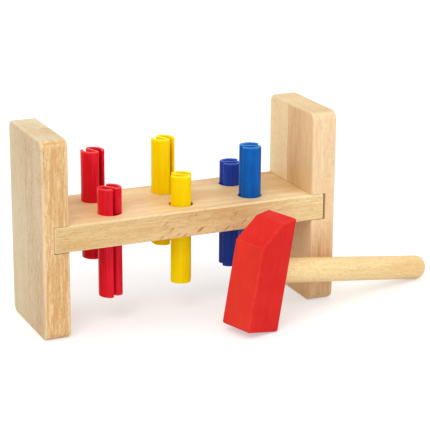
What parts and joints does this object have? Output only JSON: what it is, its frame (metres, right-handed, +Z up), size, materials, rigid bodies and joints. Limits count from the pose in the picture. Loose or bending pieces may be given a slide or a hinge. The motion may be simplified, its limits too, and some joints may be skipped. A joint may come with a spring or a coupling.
{
  "type": "peg pounding bench",
  "caption": "Wooden pounding bench for a toddler: springy plastic pegs with an S-shaped section are driven through a board held between end panels, with a block-headed wooden hammer beside it.",
  "frame": {"origin": "centre of the bench's footprint, on the floor that its end panels stand on", "axes": "+X runs along the bench from the red pegs to the blue ones, -Y is the front, where the hammer lies, +Z is up"},
  "size_m": [0.26, 0.1036, 0.12],
  "materials": {
    "panel_wood": "clear satin lacquer on light hardwood",
    "board_wood": "clear satin lacquer on light hardwood",
    "red_plastic": "glossy moulded plastic",
    "yellow_plastic": "glossy moulded plastic",
    "blue_plastic": "glossy moulded plastic",
    "painted_wood": "satin red paint on wood",
    "handle_wood": "clear satin lacquer on light hardwood"
  },
  "bodies": {
    "bench": {"left_panel_front_stave": "panel_wood", "left_panel_back_stave": "panel_wood", "right_panel_front_stave": "panel_wood", "right_panel_back_stave": "panel_wood", "peg_board": "board_wood"},
    "red_back": {"red_peg_back": "red_plastic"},
    "red_front": {"red_peg_front": "red_plastic"},
    "yellow_back": {"yellow_peg_back": "yellow_plastic"},
    "yellow_front": {"yellow_peg_front": "yellow_plastic"},
    "blue_back": {"blue_peg_back": "blue_plastic"},
    "blue_front": {"blue_peg_front": "blue_plastic"},
    "hammer": {"hammer_head": "painted_wood", "hammer_handle": "handle_wood"}
  },
  "joints": [
    {"name": "red_back_slide", "type": "slide", "parent": "bench", "child": "red_back", "axis": [0, 0, 1], "range_m": [-0.0312, 0.0195]},
    {"name": "red_front_slide", "type": "slide", "parent": "bench", "child": "red_front", "axis": [0, 0, 1], "range_m": [-0.0158, 0.0349]},
    {"name": "yellow_back_slide", "type": "slide", "parent": "bench", "child": "yellow_back", "axis": [0, 0, 1], "range_m": [-0.0341, 0.0166]},
    {"name": "yellow_front_slide", "type": "slide", "parent": "bench", "child": "yellow_front", "axis": [0, 0, 1], "range_m": [-0.0184, 0.0323]},
    {"name": "blue_back_slide", "type": "slide", "parent": "bench", "child": "blue_back", "axis": [0, 0, 1], "range_m": [-0.0142, 0.0366]},
    {"name": "blue_front_slide", "type": "slide", "parent": "bench", "child": "blue_front", "axis": [0, 0, 1], "range_m": [-0.0314, 0.0193]},
    {"name": "hammer_lift", "type": "slide", "parent": "bench", "child": "hammer", "axis": [0, 0, 1], "range_m": [0, 0.15]}
  ]
}
